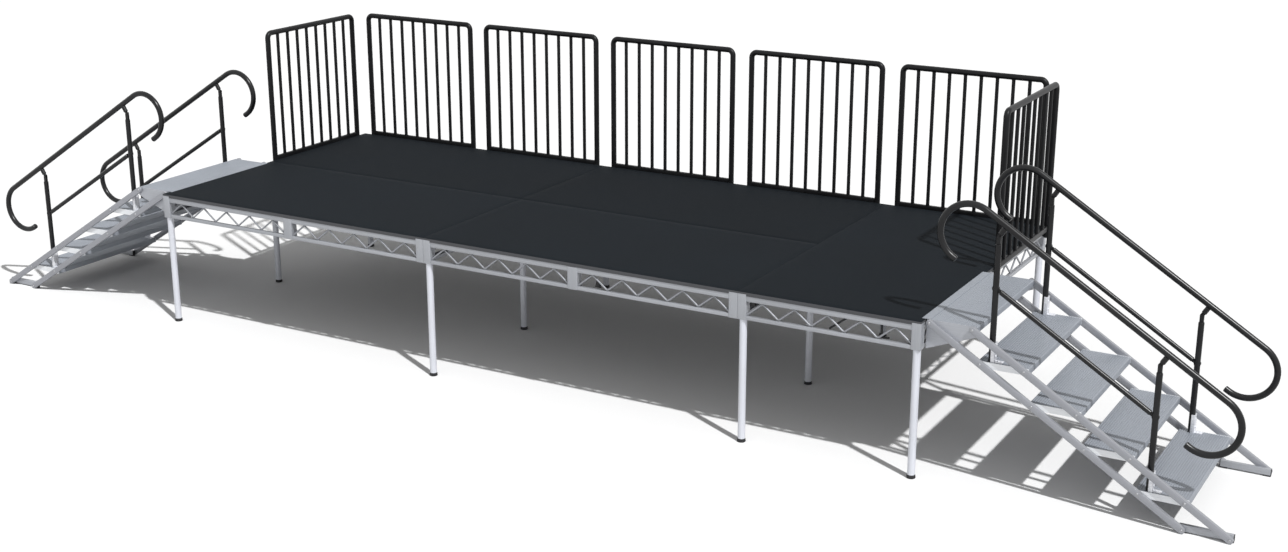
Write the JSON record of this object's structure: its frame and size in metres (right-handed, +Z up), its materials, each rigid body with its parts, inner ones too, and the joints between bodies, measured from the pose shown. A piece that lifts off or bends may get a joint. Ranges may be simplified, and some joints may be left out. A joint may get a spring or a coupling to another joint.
{
  "type": "portable stage platform",
  "caption": "Trussed deck panels on plug-in legs, with guardrails round the back half and a folding parallel-linkage stair with looped handrails at each end.",
  "frame": {"origin": "on the floor, under the middle of the whole object's box", "axes": "+X from the left stair to the right stair, +Y from the front edge to the back guardrails, +Z up"},
  "size_m": [9.852, 2.4818, 2.0708],
  "materials": {
    "deck_surface": "dark coated plywood, fine grain",
    "frame_metal": "mill finish with weld marks",
    "leg_metal": "drawn tube, mill finish",
    "guardrail_paint": "black gloss powder coat",
    "tread_metal": "ribbed extrusion, mill finish",
    "linkage_metal": "drawn bar, mill finish",
    "handrail_paint": "black gloss powder coat"
  },
  "bodies": {
    "stage": {"deck_board_front_left": "deck_surface", "deck_frame_front_left": "frame_metal", "deck_board_front_middle": "deck_surface", "deck_frame_front_middle": "frame_metal", "deck_board_right_end": "deck_surface", "deck_frame_right_end": "frame_metal", "deck_board_back_left": "deck_surface", "deck_frame_back_left": "frame_metal", "deck_board_back_middle": "deck_surface", "deck_frame_back_middle": "frame_metal", "leg_front_1": "leg_metal", "leg_front_2": "leg_metal", "leg_front_3": "leg_metal", "leg_front_4": "leg_metal", "leg_middle_1": "leg_metal", "leg_middle_2": "leg_metal", "leg_middle_3": "leg_metal", "leg_back_1": "leg_metal", "leg_back_2": "leg_metal", "leg_back_3": "leg_metal", "leg_back_4": "leg_metal", "guardrail_back_1": "guardrail_paint", "guardrail_back_2": "guardrail_paint", "guardrail_back_3": "guardrail_paint", "guardrail_back_4": "guardrail_paint", "guardrail_back_5": "guardrail_paint", "guardrail_left": "guardrail_paint", "guardrail_right": "guardrail_paint", "left_landing": "tread_metal", "left_hanger_plate": "linkage_metal", "right_landing": "tread_metal", "right_hanger_plate": "linkage_metal"},
    "left_tread_2": {"left_tread_2": "tread_metal"},
    "left_tread_3": {"left_tread_3": "tread_metal"},
    "left_tread_4": {"left_tread_4": "tread_metal"},
    "left_tread_5": {"left_tread_5": "tread_metal"},
    "left_lower_stringers": {"left_lower_stringer_front": "linkage_metal", "left_lower_stringer_back": "linkage_metal"},
    "left_upper_stringers": {"left_upper_stringer_front": "linkage_metal", "left_upper_stringer_back": "linkage_metal"},
    "left_foot_bars": {"left_foot_bar_front": "linkage_metal", "left_foot_bar_back": "linkage_metal"},
    "left_handrails": {"left_handrail_front": "handrail_paint", "left_handrail_back": "handrail_paint"},
    "left_mid_rails": {"left_mid_rail_front": "handrail_paint", "left_mid_rail_back": "handrail_paint"},
    "right_tread_2": {"right_tread_2": "tread_metal"},
    "right_tread_3": {"right_tread_3": "tread_metal"},
    "right_tread_4": {"right_tread_4": "tread_metal"},
    "right_tread_5": {"right_tread_5": "tread_metal"},
    "right_lower_stringers": {"right_lower_stringer_front": "linkage_metal", "right_lower_stringer_back": "linkage_metal"},
    "right_upper_stringers": {"right_upper_stringer_front": "linkage_metal", "right_upper_stringer_back": "linkage_metal"},
    "right_foot_bars": {"right_foot_bar_front": "linkage_metal", "right_foot_bar_back": "linkage_metal"},
    "right_handrails": {"right_handrail_front": "handrail_paint", "right_handrail_back": "handrail_paint"},
    "right_mid_rails": {"right_mid_rail_front": "handrail_paint", "right_mid_rail_back": "handrail_paint"}
  },
  "joints": [
    {"name": "left_stair_angle", "type": "hinge", "parent": "stage", "child": "left_lower_stringers", "pos_m": [-3.0772, -0.63148, 0.9995], "axis": [0, 1, 0], "range_deg": [0, 20]},
    {"name": "left_upper_stringer_pivot", "type": "hinge", "parent": "stage", "child": "left_upper_stringers", "pos_m": [-3.344, -0.63148, 0.9995], "axis": [0, 1, 0], "range_deg": [0, 20]},
    {"name": "left_tread_2_pivot", "type": "hinge", "parent": "left_lower_stringers", "child": "left_tread_2", "pos_m": [-3.4017, -0.63148, 0.7963], "axis": [0, 1, 0], "range_deg": [-20, 0]},
    {"name": "left_tread_3_pivot", "type": "hinge", "parent": "left_lower_stringers", "child": "left_tread_3", "pos_m": [-3.7262, -0.63148, 0.5931], "axis": [0, 1, 0], "range_deg": [-20, 0]},
    {"name": "left_tread_4_pivot", "type": "hinge", "parent": "left_lower_stringers", "child": "left_tread_4", "pos_m": [-4.0507, -0.63148, 0.3899], "axis": [0, 1, 0], "range_deg": [-20, 0]},
    {"name": "left_tread_5_pivot", "type": "hinge", "parent": "left_lower_stringers", "child": "left_tread_5", "pos_m": [-4.3752, -0.63148, 0.1867], "axis": [0, 1, 0], "range_deg": [-20, 0]},
    {"name": "left_foot_bar_pivot", "type": "hinge", "parent": "left_lower_stringers", "child": "left_foot_bars", "pos_m": [-4.6387, -0.63148, 0.0217], "axis": [0, 1, 0], "range_deg": [-20, 0]},
    {"name": "left_handrail_pivot", "type": "hinge", "parent": "left_tread_2", "child": "left_handrails", "pos_m": [-3.4541, -0.63148, 1.5738], "axis": [0, 1, 0], "range_deg": [0, 20]},
    {"name": "left_mid_rail_pivot", "type": "hinge", "parent": "left_tread_2", "child": "left_mid_rails", "pos_m": [-3.4541, -0.63148, 1.2618], "axis": [0, 1, 0], "range_deg": [0, 20]},
    {"name": "right_stair_angle", "type": "hinge", "parent": "stage", "child": "right_lower_stringers", "pos_m": [3.0772, -0.63148, 0.9995], "axis": [0, -1, 0], "range_deg": [0, 20]},
    {"name": "right_upper_stringer_pivot", "type": "hinge", "parent": "stage", "child": "right_upper_stringers", "pos_m": [3.344, -0.63148, 0.9995], "axis": [0, -1, 0], "range_deg": [0, 20]},
    {"name": "right_tread_2_pivot", "type": "hinge", "parent": "right_lower_stringers", "child": "right_tread_2", "pos_m": [3.4017, -0.63148, 0.7963], "axis": [0, -1, 0], "range_deg": [-20, 0]},
    {"name": "right_tread_3_pivot", "type": "hinge", "parent": "right_lower_stringers", "child": "right_tread_3", "pos_m": [3.7262, -0.63148, 0.5931], "axis": [0, -1, 0], "range_deg": [-20, 0]},
    {"name": "right_tread_4_pivot", "type": "hinge", "parent": "right_lower_stringers", "child": "right_tread_4", "pos_m": [4.0507, -0.63148, 0.3899], "axis": [0, -1, 0], "range_deg": [-20, 0]},
    {"name": "right_tread_5_pivot", "type": "hinge", "parent": "right_lower_stringers", "child": "right_tread_5", "pos_m": [4.3752, -0.63148, 0.1867], "axis": [0, -1, 0], "range_deg": [-20, 0]},
    {"name": "right_foot_bar_pivot", "type": "hinge", "parent": "right_lower_stringers", "child": "right_foot_bars", "pos_m": [4.6387, -0.63148, 0.0217], "axis": [0, -1, 0], "range_deg": [-20, 0]},
    {"name": "right_handrail_pivot", "type": "hinge", "parent": "right_tread_2", "child": "right_handrails", "pos_m": [3.4541, -0.63148, 1.5738], "axis": [0, -1, 0], "range_deg": [0, 20]},
    {"name": "right_mid_rail_pivot", "type": "hinge", "parent": "right_tread_2", "child": "right_mid_rails", "pos_m": [3.4541, -0.63148, 1.2618], "axis": [0, -1, 0], "range_deg": [0, 20]}
  ],
  "couplings": [
    {"joint": "left_upper_stringer_pivot", "follows": "left_stair_angle", "ratio": 1},
    {"joint": "left_tread_2_pivot", "follows": "left_stair_angle", "ratio": -1},
    {"joint": "left_tread_3_pivot", "follows": "left_stair_angle", "ratio": -1},
    {"joint": "left_tread_4_pivot", "follows": "left_stair_angle", "ratio": -1},
    {"joint": "left_tread_5_pivot", "follows": "left_stair_angle", "ratio": -1},
    {"joint": "left_foot_bar_pivot", "follows": "left_stair_angle", "ratio": -1},
    {"joint": "left_handrail_pivot", "follows": "left_stair_angle", "ratio": 1},
    {"joint": "left_mid_rail_pivot", "follows": "left_stair_angle", "ratio": 1},
    {"joint": "right_upper_stringer_pivot", "follows": "right_stair_angle", "ratio": 1},
    {"joint": "right_tread_2_pivot", "follows": "right_stair_angle", "ratio": -1},
    {"joint": "right_tread_3_pivot", "follows": "right_stair_angle", "ratio": -1},
    {"joint": "right_tread_4_pivot", "follows": "right_stair_angle", "ratio": -1},
    {"joint": "right_tread_5_pivot", "follows": "right_stair_angle", "ratio": -1},
    {"joint": "right_foot_bar_pivot", "follows": "right_stair_angle", "ratio": -1},
    {"joint": "right_handrail_pivot", "follows": "right_stair_angle", "ratio": 1},
    {"joint": "right_mid_rail_pivot", "follows": "right_stair_angle", "ratio": 1}
  ]
}
